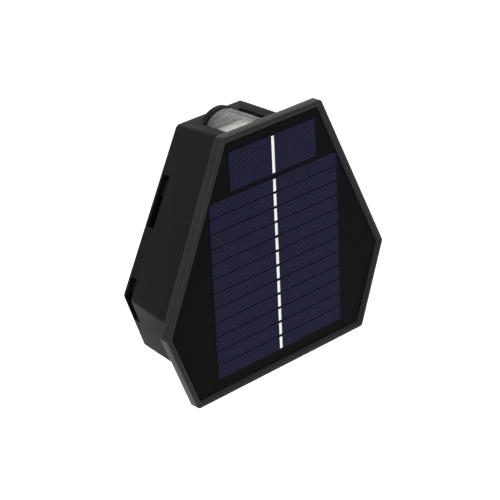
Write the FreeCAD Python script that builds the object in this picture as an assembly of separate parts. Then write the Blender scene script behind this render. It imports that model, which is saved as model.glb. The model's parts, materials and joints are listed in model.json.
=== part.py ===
import FreeCAD, Part
import os
from math import cos, hypot, pi, tan

from FreeCAD import Vector

# Solar fence light: a hexagonal tray with a solar panel in front, a smaller hexagonal housing behind it,
# a half-round lens in its top and its underside, and a wall bracket in its back.
# Millimetres. +Z up, the front faces -Y, +X is to the right as seen from the front.
# The origin is the middle of the bracket's two screw holes, on the wall.
# Every piece is placed by x, by its depth d behind the bezel's front, and by its height h above the
# bezel's widest line.

# --- overall ---------------------------------------------------------------------------------------
lamp_depth = 32.9
wall_gap = 1.0  # between the housing's back rim and the wall
holes_height = 18.0  # the screw holes' middle above the bezel's widest line

# --- outlines: right-hand corners (x, h) from the top down -------------------------------------------
bezel_top_half, bezel_top_height = 23.7, 65.0
bezel_half_width = 54.0
bezel_bottom_half, bezel_bottom_height = 41.9, -31.7
body_top_half, body_top_height = 15.7, 59.3
body_mid_half, body_mid_height = 45.4, 3.7
body_bottom_half, body_bottom_height = 37.4, -19.9
# how far each face of the housing stands out at the front, past its line at the back
top_draft = 0.6
upper_side_draft = -0.65
lower_side_draft = 2.6
bottom_draft = 2.8
body_corner_radius = 2.0
bezel_corner_radius = 1.6

# --- front tray and panel ----------------------------------------------------------------------------
bezel_depth = 4.1
lip_width = 2.5
lip_bevel = 0.9
bezel_edge_radius = 0.5
panel_recess = 0.9
panel_gap = 0.3  # all round the board in the tray
board_thickness = 1.5
cell_thickness = 0.2
ribbon_thickness = 0.1
tape_thickness = 0.3
tape_width = 6.0
cell_edge = 0.3  # from the board's edge to the nearest cell
cell_half_width = 31.25
strip_pitch = 5.65
strip_gap = 0.35
strip_count = 12
lower_cells_top = 42.9
top_cell_half_width = 21.1
top_cell_bottom, top_cell_top = 44.4, 58.9
ribbon_width = 1.3
ribbon_gap = 1.0
lead_hole_radius = 4.0
lead_hole_x, lead_hole_height = 2.0, 4.5
terminal_radius = 0.85
terminal_thickness = 0.25

# --- housing -----------------------------------------------------------------------------------------
wall = 2.2
rim_lip = 1.1  # outside the seal
seal_width = 1.1
seal_depth = 1.0
rib_thickness = 1.2
rib_height = 2.5
rib_clearance = 0.4
rear_wall_thickness = 1.8
rear_recess = 3.7  # from the rear wall's back to the back rim
skirt = 2.0
back_edge_radius = 0.4

# --- slots near the back edge, measured along the side faces from their top corner --------------------
slot_width = 3.1
slot_to_rim = 1.2
slot_start, slot_end = 17.8, 37.2
corner_slot_start = 55.9
corner_slot_tail = 11.5  # down the lower face
tail_to_rim = 0.5  # the rim is thinner beside this stretch
slot_over = 1.0  # how far a slot's cutter stands out of the wall on the outside
slot_past = 0.5  # and on the inside

# --- lens, in the top and the underside ---------------------------------------------------------------
opening_half = 9.7
opening_front = 8.7
opening_to_wall = 1.0  # from its back end to the rear wall
arch_thickness = 2.5
front_arch_thickness = 2.0
lens_axis_drop = 4.2  # the lens's axis inside the housing's inner face
lens_clearance = 0.3
lens_wall = 1.4
flange_thickness = 1.2
flange_overlap = 1.8
flange_clearance = 0.4  # to the rear wall
gasket_thickness = 0.8
gasket_clearance = 0.2
reflector_height = 6.1
reflector_wall = 1.6
reflector_foot_half = 5.5
reflector_foot_inset = 1.0
led_board_half = 10.4
led_board_thickness = 1.2
led_size = 3.0
led_height = 1.2
led_pitch = 3.6
led_margin = 0.6  # from the reflector's foot to the first LED
leg_half = 7.0
leg_thickness = 1.5
leg_length = 8.8
leg_screw_half_spacing = 4.5
leg_screw_drop = 5.5

# --- screws and bosses --------------------------------------------------------------------------------
column_radius = 4.2
column_front = 9.0
counterbore_radius = 3.2
head_seat = 17.0
case_screw_radius = 1.45
case_screw_hole = 1.7
case_head_radius = 2.8
case_head_height = 2.2
case_screw_length = 11.5
tray_boss_radius = 3.4
tray_boss_gap = 0.2
top_column_x, top_column_height = 16.5, 42.0
low_column_x, low_column_height = 33.0, -10.5
screw_clearance = 0.03  # a thread's crest to its pilot bore, radial
boss_radius = 2.5
boss_height = 4.0
small_screw_radius = 1.0
small_screw_hole = 1.2
small_head_radius = 1.9
small_head_height = 1.3
small_screw_bite = 3.0
bore_spare = 0.5  # past the screw's tip

# --- battery ------------------------------------------------------------------------------------------
cell_radius, cell_length = 7.05, 50.0
cell_to_wall = 12.4  # from the battery's axis to the rear wall
cell_height = 23.0
nub_radius, nub_length = 2.7, 0.8
cradle_clearance = 0.2
cradle_wall = 1.2
cradle_short = 1.0  # its end inside the battery's end
cradle_past = 0.5  # its front edge in front of the battery's axis
holder_floor_gap = 0.35
holder_floor = 1.5
holder_end_wall = 1.2
holder_end_half_height = 4.6
holder_end_past = 4.2  # its front edge in front of the battery's axis
ear_inset, ear_offset, ear_radius = 7.0, 10.6, 3.0
contact_thickness = 0.4
contact_bump = 0.4
contact_half = 4.2
contact_bump_radius = 2.0
contact_tail_half = 1.0
contact_tail_end = 15.2

# --- circuit board ------------------------------------------------------------------------------------
circuit_thickness = 1.6
circuit_left, circuit_right = -27.0, 28.0
circuit_top, circuit_step = 9.0, 0.3
circuit_leg_left, circuit_leg_bottom = 13.0, -12.5
circuit_screws = ((-24.0, 4.6), (25.0, 5.6), (15.6, -9.9))
# x, height, width, height across the board and height above it
controller_chip = (-3.2, 4.6, 4.9, 3.9, 1.6)
driver_chip = (17.6, 5.2, 3.0, 3.0, 1.1)
coil = (17.2, -1.4, 5.0, 5.0, 3.2)
capacitor_x, capacitor_height, capacitor_radius, capacitor_length = 24.2, -1.6, 2.5, 5.4
resistor_long, resistor_short, resistor_thickness = 1.6, 0.8, 0.6
resistor_row_height, resistor_row = 7.6, (-5.4, -2.9, 6.3, 14.0, 16.6)
resistor_column_x, resistor_column = 15.2, (-5.6, -7.2)
plug_half, plug_depth, plug_height = 2.6, 4.4, 4.4
wire_radius = 0.6
wire_half_spacing = 0.9
lamp_lead_x = -8.3
top_plug_x, battery_plug_x, panel_plug_x = -16.0, 10.0, 2.0
plug_bottom, lamp_plug_bottom = 2.0, 1.0
panel_lead_first, panel_lead_middle, panel_lead_last = 0.8, 5.0, 8.4  # behind the terminals
panel_lead_rise = 1.6
lead_height = 11.2  # of the leads that cross over the board
lead_rise = 2.2  # of the lamp lead behind it
lead_drop = 3.0  # straight, next to what it leaves
lead_swing = 3.0  # sideways, past the column
battery_lead_past = 2.6  # in front of the battery's axis

# --- mode button in the underside ---------------------------------------------------------------------
button_x = 21.5
button_radius = 3.8
button_clearance = 0.3
button_proud = 1.2
button_flange_radius, button_flange = 5.2, 1.2
button_edge_radius = 0.6
button_stem_radius = 1.8
button_travel = 0.8
switch_half, switch_height = 3.0, 5.0
plunger_radius = 1.5
plunger_clearance = 0.3
plunger_out = 1.1
plunger_in = 0.9

# --- wall bracket -------------------------------------------------------------------------------------
bracket_thickness = 2.2
bracket_clearance = 0.3
lift_travel = 9.0
bracket_top_inset = 9.0
bracket_corner_radius = 3.0
bracket_flange = 0.6  # the thin edge of the plate, behind the housing's rim
screw_spacing = 34.0
screw_hole_radius = 2.25
tab_clearance = 0.25  # behind it, in its slot
tab_slack = 1.6  # in front of it
tab_short = 1.5  # its end below the housing's outer face
upper_tab_start, upper_tab_length = 19.5, 6.0
corner_tab_start, corner_tab_length = 57.0, 4.0
tab_root = 4.0
corner_post_start, corner_post_length = 54.0, 4.0  # stays clear of the lower rim when the lamp is lifted
pad_radius, pad_height = 5.5, 0.6

# --- worked out ---------------------------------------------------------------------------------------
front_y = -(wall_gap + lamp_depth)
widest_z = -holes_height
bezel_corners = (
    (bezel_top_half, bezel_top_height),
    (bezel_half_width, 0.0),
    (bezel_bottom_half, bezel_bottom_height),
)
body_corners = (
    (body_top_half, body_top_height),
    (body_mid_half, body_mid_height),
    (body_bottom_half, body_bottom_height),
)
rear_wall_back = lamp_depth - rear_recess
rear_wall_front = rear_wall_back - rear_wall_thickness
slot_back = lamp_depth - slot_to_rim
slot_front = slot_back - slot_width
opening_back = rear_wall_front - opening_to_wall
cell_depth = rear_wall_front - cell_to_wall
inner_top = body_top_height - wall
inner_bottom = body_bottom_height + wall
cells_front = panel_recess
board_front = cells_front + cell_thickness
tape_front = board_front + board_thickness
tray_floor_front = tape_front + tape_thickness
board_inset = lip_width + panel_gap
columns = [
    (side * x, h)
    for side in (-1, 1)
    for x, h in ((top_column_x, top_column_height), (low_column_x, low_column_height))
]
boss_front = rear_wall_front - boss_height
circuit_front = boss_front - circuit_thickness
leg_front = boss_front - leg_thickness
foot_front = opening_front - flange_overlap + reflector_wall + reflector_foot_inset
foot_back = leg_front - reflector_foot_inset
led_count = int((foot_back - foot_front - 2 * led_margin - led_size) / led_pitch + 1.01)
lens_radius = opening_half - lens_clearance
wall_plane = lamp_depth + wall_gap
holder_front = cell_depth + cell_radius + holder_floor_gap
holder_back = holder_front + holder_floor
half_cell = cell_length / 2
contact_face = half_cell + contact_bump
holder_end_face = contact_face + contact_thickness
holder_end_half = holder_end_face + holder_end_wall
ear_x = half_cell - ear_inset
ears = ((-ear_x, cell_height + ear_offset), (ear_x, cell_height - ear_offset))
button_depth = circuit_front - switch_half
button_bottom = body_bottom_height - bottom_draft * (1 - button_depth / lamp_depth) - button_proud
switch_front = circuit_front - 2 * switch_half


# --- helpers ------------------------------------------------------------------------------------------
def at(x, d, h):
    """The point at x, depth d and height h."""
    return Vector(x, front_y + d, widest_z + h)


def box(x0, x1, d0, d1, h0, h1):
    """A block between two x, two depths and two heights."""
    return Part.makeBox(x1 - x0, d1 - d0, h1 - h0, at(x0, d0, h0))


def pin_back(x, h, d0, d1, radius):
    """A round pin that runs from front to back."""
    return Part.makeCylinder(radius, d1 - d0, at(x, d0, h), Vector(0, 1, 0))


def pin_up(x, d, h0, h1, radius):
    """A round pin that stands upright."""
    return Part.makeCylinder(radius, h1 - h0, at(x, d, h0), Vector(0, 0, 1))


def meet(n1, c1, n2, c2):
    """The point where two lines n.p = c cross."""
    det = n1[0] * n2[1] - n1[1] * n2[0]
    return ((c1 * n2[1] - c2 * n1[1]) / det, (n1[0] * c2 - n2[0] * c1) / det)


def face_axes(a, b):
    """The direction of the side from corner a to corner b, and its outward direction."""
    length = hypot(b[0] - a[0], b[1] - a[1])
    along = ((b[0] - a[0]) / length, (b[1] - a[1]) / length)
    return along, (-along[1], along[0])


def hexagon(corners, offsets=(0, 0, 0, 0)):
    """Six corners of a mirrored hexagon whose top, upper, lower and bottom sides move out by offsets."""
    top, mid, low = corners
    lines = [((0, 1), top[1] + offsets[0])]
    for a, b, offset in ((top, mid, offsets[1]), (mid, low, offsets[2])):
        outward = face_axes(a, b)[1]
        lines.append((outward, outward[0] * a[0] + outward[1] * a[1] + offset))
    lines.append(((0, -1), -low[1] + offsets[3]))
    right = [meet(*lines[i], *lines[i + 1]) for i in range(3)]
    return right + [(-x, h) for x, h in reversed(right)]


def bezel_outline(inset=0.0):
    """The tray's outline, all sides moved in by inset."""
    return hexagon(bezel_corners, [-inset] * 4)


def body_outline(d, inset=0.0):
    """The housing's outline at depth d, all sides moved in by inset."""
    share = 1 - d / lamp_depth
    drafts = (top_draft, upper_side_draft, lower_side_draft, bottom_draft)
    return hexagon(body_corners, [draft * share - inset for draft in drafts])


def cavity_outline(d, inset=0.0):
    """The housing's inside at depth d: its top and bottom are level, for the lens seats."""
    share = 1 - d / lamp_depth
    sides = [draft * share - wall - inset for draft in (upper_side_draft, lower_side_draft)]
    return hexagon(body_corners, [-wall - inset, *sides, -wall - inset])


def outline_wire(points, d, radius):
    """A closed outline at depth d with its corners rounded."""
    edges = []
    ends = []
    corners = [at(x, d, h) for x, h in points]
    for i, here in enumerate(corners):
        to_last = (corners[i - 1] - here).normalize()
        to_next = (corners[(i + 1) % len(corners)] - here).normalize()
        turn = pi - to_last.getAngle(to_next)
        reach = radius * tan(turn / 2)
        middle = here + (to_last + to_next).normalize() * (radius / cos(turn / 2) - radius)
        first, last = here + to_last * reach, here + to_next * reach
        edges.append(Part.Arc(first, middle, last).toShape())
        ends.append((first, last))
    for i in range(len(ends)):
        edges.append(Part.LineSegment(ends[i - 1][1], ends[i][0]).toShape())
    return Part.Wire(Part.__sortEdges__(edges))


def prism(points, d0, d1, radius=0.0):
    """A straight block with the given outline between two depths."""
    if radius > 0:
        wire = outline_wire(points, d0, radius)
    else:
        wire = Part.makePolygon([at(x, d0, h) for x, h in [*points, points[0]]])
    return Part.Face(wire).extrude(Vector(0, d1 - d0, 0))


def drafted(front, back, d0, d1, radius):
    """A block whose outline changes evenly from front to back."""
    wires = [outline_wire(front, d0, radius), outline_wire(back, d1, radius)]
    return Part.makeLoft(wires, True, True)


def edges_at(shape, d):
    """The edges that lie flat at depth d."""
    y = front_y + d
    return [e for e in shape.Edges if all(abs(v.Y - y) < 1e-6 for v in e.Vertexes)]


def merged(first, *others):
    """One solid from pieces that touch or overlap."""
    return first.fuse(list(others)).removeSplitter()


def group(solids):
    """Several separate solids in one node."""
    return Part.makeCompound(list(solids))


def screw(x, h, seat, shank, head_radius, head_height, shank_radius, forward):
    """A pan-head screw whose head rests at depth seat; it points to the front or to the back."""
    sign = -1 if forward else 1
    ends = sorted((seat, seat + sign * shank))
    heads = sorted((seat, seat - sign * head_height))
    head = pin_back(x, h, *heads, head_radius)
    slot_depth = head_height / 2
    top = seat - sign * head_height
    cross = sorted((top, top + sign * slot_depth))
    reach, half = head_radius * 0.62, head_radius * 0.16
    recess = box(x - reach, x + reach, *cross, h - half, h + half)
    recess = recess.fuse(box(x - half, x + half, *cross, h - reach, h + reach))
    return merged(head.cut(recess), pin_back(x, h, *ends, shank_radius))


def small_screw(x, h, seat):
    """A small screw into one of the rear wall's bosses."""
    length = boss_front + small_screw_bite - seat
    return screw(x, h, seat, length, small_head_radius, small_head_height, small_screw_radius, False)


def small_boss(x, h, front=boss_front):
    """A boss on the rear wall, up to the given depth, without its bore."""
    return pin_back(x, h, front, rear_wall_front, boss_radius)


def small_bore(x, h, front=boss_front):
    """The pilot bore of a small boss; it stops short of the rear wall."""
    depth = small_screw_bite + bore_spare
    return pin_back(x, h, front, front + depth, small_screw_radius + screw_clearance)


def tube(points, radius):
    """A wire along straight runs joined by arcs, each arc as large as its two runs allow."""
    edges = []
    start = points[0]
    for before, here, after in zip(points, points[1:], points[2:]):
        back, on = before - here, after - here
        reach = 0.45 * min(back.Length, on.Length)
        turn = pi - back.getAngle(on)
        bend = reach / tan(turn / 2)
        back.normalize()
        on.normalize()
        middle = here + (back + on).normalize() * (bend / cos(turn / 2) - bend)
        edges.append(Part.LineSegment(start, here + back * reach).toShape())
        edges.append(Part.Arc(here + back * reach, middle, here + on * reach).toShape())
        start = here + on * reach
    edges.append(Part.LineSegment(start, points[-1]).toShape())
    ring = Part.Wire([Part.makeCircle(radius, points[0], points[1] - points[0])])
    return Part.Wire(edges).makePipeShell([ring], True, False)


# --- front tray and panel -----------------------------------------------------------------------------
def front_bezel():
    tray = prism(bezel_outline(), 0, bezel_depth, bezel_corner_radius)
    tray = tray.makeFillet(bezel_edge_radius, edges_at(tray, 0) + edges_at(tray, bezel_depth))
    inner_radius = bezel_corner_radius / 2
    well = prism(bezel_outline(lip_width), 0, tray_floor_front, inner_radius)
    bevel = drafted(
        bezel_outline(lip_width - lip_bevel), bezel_outline(lip_width), 0, panel_recess, inner_radius
    )
    lead_hole = pin_back(lead_hole_x, lead_hole_height, 0, bezel_depth, lead_hole_radius)
    rib_back = bezel_depth + rib_height
    rib_outer = cavity_outline(bezel_depth, rib_clearance)
    rib_inner = cavity_outline(bezel_depth, rib_clearance + rib_thickness)
    rib = prism(rib_outer, bezel_depth, rib_back, body_corner_radius)
    rib = rib.cut(prism(rib_inner, bezel_depth, rib_back, body_corner_radius))
    boss_end = column_front - tray_boss_gap
    bosses = [pin_back(x, h, bezel_depth, boss_end, tray_boss_radius) for x, h in columns]
    pilot = case_screw_radius + screw_clearance
    bores = [pin_back(x, h, bezel_depth, boss_end, pilot) for x, h in columns]
    return merged(tray.cut([well, bevel, lead_hole]), rib, *bosses).cut(bores)


def panel_adhesive():
    outer = prism(bezel_outline(board_inset), tape_front, tray_floor_front)
    return outer.cut(prism(bezel_outline(board_inset + tape_width), tape_front, tray_floor_front))


def panel_board():
    return prism(bezel_outline(board_inset), board_front, tape_front, bezel_corner_radius / 2)


def cell_rows():
    """Half width, bottom and top of each strip, from the top down."""
    rows = [(top_cell_half_width, top_cell_bottom, top_cell_top)]
    for i in range(strip_count):
        top = lower_cells_top - i * strip_pitch - strip_gap / 2
        rows.append((cell_half_width, top - strip_pitch + strip_gap, top))
    return rows


def solar_cells():
    field = prism(bezel_outline(board_inset + cell_edge), cells_front, board_front)
    return group(
        box(-half, half, cells_front, board_front, low, high).common(field).Solids[0]
        for half, low, high in cell_rows()
    )


def busbar_ribbons():
    half, inset = ribbon_width / 2, (ribbon_gap - strip_gap) / 2
    front = cells_front - ribbon_thickness
    return group(
        box(-half, half, front, cells_front, low + inset, high - inset) for _, low, high in cell_rows()
    )


def panel_terminals():
    end = tape_front + terminal_thickness
    return group(
        pin_back(lead_hole_x + side * wire_half_spacing, lead_hole_height, tape_front, end, terminal_radius)
        for side in (-1, 1)
    )


# --- housing ------------------------------------------------------------------------------------------
def strip_along(a, b, start, end, outer, inner):
    """A quad beside the line from a to b: start to end along it, and outer to inner across it."""
    along, outward = face_axes(a, b)
    return [
        (a[0] + along[0] * s + outward[0] * o, a[1] + along[1] * s + outward[1] * o)
        for s, o in ((start, outer), (end, outer), (end, inner), (start, inner))
    ]


def mirrored(points):
    return [(-x, h) for x, h in points]


def slot_cutters():
    """The four slots: two along the upper sides and two round the widest corners."""
    top, mid, low = body_corners
    inner = -skirt - slot_past
    side_length = hypot(mid[0] - top[0], mid[1] - top[1])
    upper = strip_along(top, mid, slot_start, slot_end, slot_over, inner)
    bend = strip_along(top, mid, corner_slot_start, side_length, slot_over, inner)
    tail = strip_along(mid, low, 0, corner_slot_tail, slot_over, inner)
    corner = [bend[0], meet_sides(slot_over), tail[1], tail[2], meet_sides(inner), bend[3]]
    deep_tail = [mid, meet_sides(slot_over), tail[1], tail[2], meet_sides(inner)]
    tail_back = lamp_depth - tail_to_rim
    cutters = []
    for points, back in ((upper, slot_back), (corner, slot_back), (deep_tail, tail_back)):
        cutters += [prism(points, slot_front, back), prism(mirrored(points), slot_front, back)]
    return cutters


def meet_sides(offset):
    """The widest corner of the housing's back outline when both sides move out by offset."""
    return hexagon(body_corners, (0, offset, offset, 0))[1]


def arch(inner_plane, up, d0, d1):
    """The wall that closes one end of a lens: it rises round over the lens."""
    axis = inner_plane - up * lens_axis_drop
    disc = pin_back(0, axis, d0, d1, opening_half)
    far = inner_plane + up * 2 * opening_half
    return disc.common(box(-opening_half, opening_half, d0, d1, *sorted((inner_plane, far))))


def lens_opening(inner_plane, up):
    far = inner_plane + up * 2 * opening_half
    return box(-opening_half, opening_half, opening_front, opening_back, *sorted((inner_plane - up, far)))


def lamp_screw_places():
    """x and h of the screws that hold the two reflectors."""
    places = []
    for inner_plane, up in ((inner_top, 1), (inner_bottom, -1)):
        h = led_plane(inner_plane, up) - up * leg_screw_drop
        places += [(side * leg_screw_half_spacing, h) for side in (-1, 1)]
    return places


def led_plane(inner_plane, up):
    """The height at which the reflector meets its LED board."""
    return inner_plane - up * (gasket_thickness + flange_thickness + reflector_height)


def housing():
    shell = drafted(
        body_outline(bezel_depth), body_outline(lamp_depth), bezel_depth, lamp_depth, body_corner_radius
    )
    shell = shell.makeFillet(back_edge_radius, edges_at(shell, lamp_depth))
    cavity = drafted(
        cavity_outline(bezel_depth), cavity_outline(rear_wall_front),
        bezel_depth, rear_wall_front, body_corner_radius,
    )
    recess = drafted(
        body_outline(rear_wall_back, skirt), body_outline(lamp_depth, skirt),
        rear_wall_back, lamp_depth, body_corner_radius,
    )
    seal_outline = body_outline(bezel_depth, rim_lip)
    seal_seat = prism(seal_outline, bezel_depth, bezel_depth + seal_depth, body_corner_radius)
    shell = shell.cut([cavity, recess, seal_seat])
    added = [
        arch(plane, up, d0, d1)
        for plane, up in ((inner_top, 1), (inner_bottom, -1))
        for d0, d1 in (
            (opening_back, opening_back + arch_thickness),
            (opening_front - front_arch_thickness, opening_front),
        )
    ]
    added += [pin_back(x, h, column_front, rear_wall_front, column_radius) for x, h in columns]
    places = [*circuit_screws, *lamp_screw_places()]
    added += [small_boss(x, h) for x, h in places]
    added += [small_boss(x, h, holder_back) for x, h in ears]
    cuts = [lens_opening(inner_top, 1), lens_opening(inner_bottom, -1)]
    cuts += [pin_back(x, h, head_seat, rear_wall_back, counterbore_radius) for x, h in columns]
    cuts += [pin_back(x, h, column_front, head_seat, case_screw_hole) for x, h in columns]
    cuts += [small_bore(x, h) for x, h in places]
    cuts += [small_bore(x, h, holder_back) for x, h in ears]
    hole = button_radius + button_clearance
    cuts.append(pin_up(button_x, button_depth, button_bottom, inner_bottom, hole))
    return merged(shell, *added).cut(cuts + slot_cutters())


def housing_gasket():
    end = bezel_depth + seal_depth
    outer = prism(body_outline(bezel_depth, rim_lip), bezel_depth, end, body_corner_radius)
    inner = prism(body_outline(bezel_depth, rim_lip + seal_width), bezel_depth, end, body_corner_radius)
    return outer.cut(inner)


def housing_screws():
    return group(
        screw(x, h, head_seat, case_screw_length, case_head_radius, case_head_height, case_screw_radius, True)
        for x, h in columns
    )


# --- lamps: the same pieces look up from the top and down from the underside --------------------------
def flange_box(inner_plane, up, near, thickness, clearance=0.0):
    """A plate of the lens flange's outline whose outer face is near inside the housing's inner face."""
    half = opening_half + flange_overlap - clearance
    back = rear_wall_front - flange_clearance - clearance
    heights = sorted((inner_plane - up * near, inner_plane - up * (near + thickness)))
    return box(-half, half, opening_front - flange_overlap + clearance, back, *heights)


def lens(inner_plane, up):
    axis = inner_plane - up * lens_axis_drop
    front, back = opening_front + lens_clearance, opening_back - lens_clearance
    flange = flange_box(inner_plane, up, gasket_thickness, flange_thickness)
    inner_face = inner_plane - up * (gasket_thickness + flange_thickness)
    far = inner_plane + up * 2 * lens_radius
    keep = box(-lens_radius, lens_radius, front, back, *sorted((inner_face, far)))
    barrel = pin_back(0, axis, front, back, lens_radius).common(keep)
    hollow = pin_back(0, axis, front + lens_wall, back - lens_wall, lens_radius - lens_wall)
    return merged(flange, barrel).cut(hollow)


def lens_gasket(inner_plane, up):
    outer = flange_box(inner_plane, up, 0, gasket_thickness)
    half = opening_half + gasket_clearance
    heights = sorted((inner_plane, inner_plane - up * gasket_thickness))
    front, back = opening_front - gasket_clearance, opening_back + gasket_clearance
    return outer.cut(box(-half, half, front, back, *heights))


def rectangle(half, front, back, h):
    corners = [(-half, front), (half, front), (half, back), (-half, back), (-half, front)]
    return Part.makePolygon([at(x, d, h) for x, d in corners])


def reflector(inner_plane, up):
    near = gasket_thickness + flange_thickness
    body = flange_box(inner_plane, up, near, reflector_height)
    mouth, foot = inner_plane - up * near, led_plane(inner_plane, up)
    half = opening_half + flange_overlap - reflector_wall
    front = opening_front - flange_overlap + reflector_wall
    back = rear_wall_front - flange_clearance - reflector_wall
    funnel = Part.makeLoft(
        [rectangle(half, front, back, mouth), rectangle(reflector_foot_half, foot_front, foot_back, foot)],
        True, True,
    )
    leg_heights = sorted((foot, foot - up * leg_length))
    leg = box(-leg_half, leg_half, leg_front, boss_front, *leg_heights)
    holes = [
        pin_back(side * leg_screw_half_spacing, foot - up * leg_screw_drop, leg_front, boss_front,
                 small_screw_hole)
        for side in (-1, 1)
    ]
    return merged(body.cut(funnel), leg).cut(holes)


def led_board(inner_plane, up):
    foot = led_plane(inner_plane, up)
    heights = sorted((foot, foot - up * led_board_thickness))
    front = opening_front - flange_overlap + reflector_wall
    return box(-led_board_half, led_board_half, front, leg_front - panel_gap, *heights)


def leds(inner_plane, up):
    foot = led_plane(inner_plane, up)
    heights = sorted((foot, foot + up * led_height))
    middle = (foot_front + foot_back) / 2
    half = led_size / 2
    solids = []
    for i in range(led_count):
        d = middle + (i - (led_count - 1) / 2) * led_pitch
        package = box(-half, half, d - half, d + half, *heights)
        dish_heights = sorted((foot + up * led_height, foot + up * led_height * 0.6))
        dish_radius = half * 0.8
        solids.append(package.cut(pin_up(0, d, *dish_heights, dish_radius)))
    return group(solids)


def lamp_screws(index):
    return group(small_screw(x, h, leg_front) for x, h in lamp_screw_places()[2 * index:2 * index + 2])


# --- battery ------------------------------------------------------------------------------------------
def along_x(x0, x1, radius):
    """A round pin on the battery's axis."""
    return Part.makeCylinder(radius, x1 - x0, at(x0, cell_depth, cell_height), Vector(1, 0, 0))


def battery_cell():
    shoulder = half_cell - nub_length
    return merged(along_x(-half_cell, shoulder, cell_radius), along_x(shoulder, half_cell, nub_radius))


def battery_holder():
    inner = cell_radius + cradle_clearance
    outer = inner + cradle_wall
    low, high = cell_height - outer, cell_height + outer
    end_low, end_high = cell_height - holder_end_half_height, cell_height + holder_end_half_height
    cradle_end = half_cell - cradle_short
    pieces = [
        box(-cradle_end, cradle_end, holder_front, holder_back, low, high),
        box(-holder_end_half, holder_end_half, holder_front, holder_back, end_low, end_high),
    ]
    for side in (-1, 1):
        walls = sorted((cell_height + side * inner, cell_height + side * outer))
        pieces.append(box(-cradle_end, cradle_end, cell_depth - cradle_past, holder_front, *walls))
        ends = sorted((side * holder_end_half, side * holder_end_face))
        pieces.append(box(*ends, cell_depth - holder_end_past, holder_front, end_low, end_high))
    for x, h in ears:
        heights = sorted((h, cell_height))
        pieces.append(pin_back(x, h, holder_front, holder_back, ear_radius))
        pieces.append(box(x - ear_radius, x + ear_radius, holder_front, holder_back, *heights))
    holes = [pin_back(x, h, holder_front, holder_back, small_screw_hole) for x, h in ears]
    return merged(*pieces).cut(holes)


def battery_contacts():
    """A plate on each end wall with a bump to the cell and a tail for its wire."""
    solids = []
    for side in (-1, 1):
        plate_x = sorted((side * holder_end_face, side * contact_face))
        bump_x = sorted((side * half_cell, side * contact_face))
        plate = box(
            *plate_x, cell_depth - contact_half, cell_depth + contact_half,
            cell_height - contact_half, cell_height + contact_half,
        )
        tail = box(
            *plate_x, cell_depth - contact_tail_half, cell_depth + contact_tail_half,
            contact_tail_end, cell_height - contact_half,
        )
        solids.append(merged(plate, tail, along_x(*bump_x, contact_bump_radius)))
    return group(solids)


def holder_screws():
    return group(
        screw(x, h, holder_front, holder_floor + small_screw_bite, small_head_radius, small_head_height,
              small_screw_radius, False)
        for x, h in ears
    )


# --- circuit board ------------------------------------------------------------------------------------
def circuit_board():
    bar = box(circuit_left, circuit_right, circuit_front, boss_front, circuit_step, circuit_top)
    leg = box(circuit_leg_left, circuit_right, circuit_front, boss_front, circuit_leg_bottom, circuit_step)
    holes = [pin_back(x, h, circuit_front, boss_front, small_screw_hole) for x, h in circuit_screws]
    return merged(bar, leg).cut(holes)


def board_components():
    """Controller, driver, coil, capacitor and chip resistors, all on the board's front face."""
    def block(x, h, width, height, tall):
        sides = (x - width / 2, x + width / 2)
        return box(*sides, circuit_front - tall, circuit_front, h - height / 2, h + height / 2)

    parts = [block(*controller_chip), block(*driver_chip), block(*coil)]
    capacitor_front = circuit_front - capacitor_length
    parts.append(pin_back(capacitor_x, capacitor_height, capacitor_front, circuit_front, capacitor_radius))
    parts += [
        block(x, resistor_row_height, resistor_long, resistor_short, resistor_thickness) for x in resistor_row
    ]
    parts += [
        block(resistor_column_x, h, resistor_short, resistor_long, resistor_thickness)
        for h in resistor_column
    ]
    return group(parts)


def wire_connectors():
    """The four plugs that the leads end in."""
    return group(
        box(x - plug_half, x + plug_half, circuit_front - plug_depth, circuit_front, low, low + plug_height)
        for x, low in (
            (top_plug_x, plug_bottom), (lamp_lead_x, lamp_plug_bottom), (panel_plug_x, plug_bottom),
            (battery_plug_x, plug_bottom),
        )
    )


def board_screws():
    return group(small_screw(x, h, circuit_front) for x, h in circuit_screws)


# --- leads: each is two wires -------------------------------------------------------------------------
plug_wire_depth = circuit_front - plug_depth / 2
plug_top = plug_bottom + plug_height
behind_holder = (holder_back + rear_wall_front) / 2
led_row_depth = (opening_front + leg_front) / 2


def two_wires(path):
    """Two wires side by side; path gives the points of the one at the given side."""
    return group(
        tube([at(*point) for point in path(side * wire_half_spacing)], wire_radius) for side in (-1, 1)
    )


def panel_leads():
    start = tape_front + terminal_thickness
    return two_wires(lambda s: [
        (panel_plug_x + s, start, lead_hole_height),
        (panel_plug_x + s, bezel_depth + panel_lead_first, lead_hole_height),
        (panel_plug_x + s, bezel_depth + panel_lead_middle, lead_hole_height + panel_lead_rise),
        (panel_plug_x + s, bezel_depth + panel_lead_last, lead_hole_height),
        (panel_plug_x + s, circuit_front - plug_depth, lead_hole_height),
    ])


def top_led_leads():
    start = led_plane(inner_top, 1) - led_board_thickness
    return two_wires(lambda s: [
        (lamp_lead_x + s, led_row_depth, start),
        (lamp_lead_x + s, led_row_depth, start - lead_drop),
        (lamp_lead_x - lead_swing + s, behind_holder, top_column_height - column_radius),
        (top_plug_x + s, behind_holder, lead_height + lead_rise),
        (top_plug_x + s, plug_wire_depth, lead_height),
        (top_plug_x + s, plug_wire_depth, plug_top),
    ])


def bottom_led_leads():
    start = led_plane(inner_bottom, -1) + led_board_thickness
    return two_wires(lambda s: [
        (lamp_lead_x + s, led_row_depth, start),
        (lamp_lead_x + s, led_row_depth, start + lead_drop),
        (lamp_lead_x + s, plug_wire_depth, start + 2 * lead_drop),
        (lamp_lead_x + s, plug_wire_depth, lamp_plug_bottom),
    ])


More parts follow.
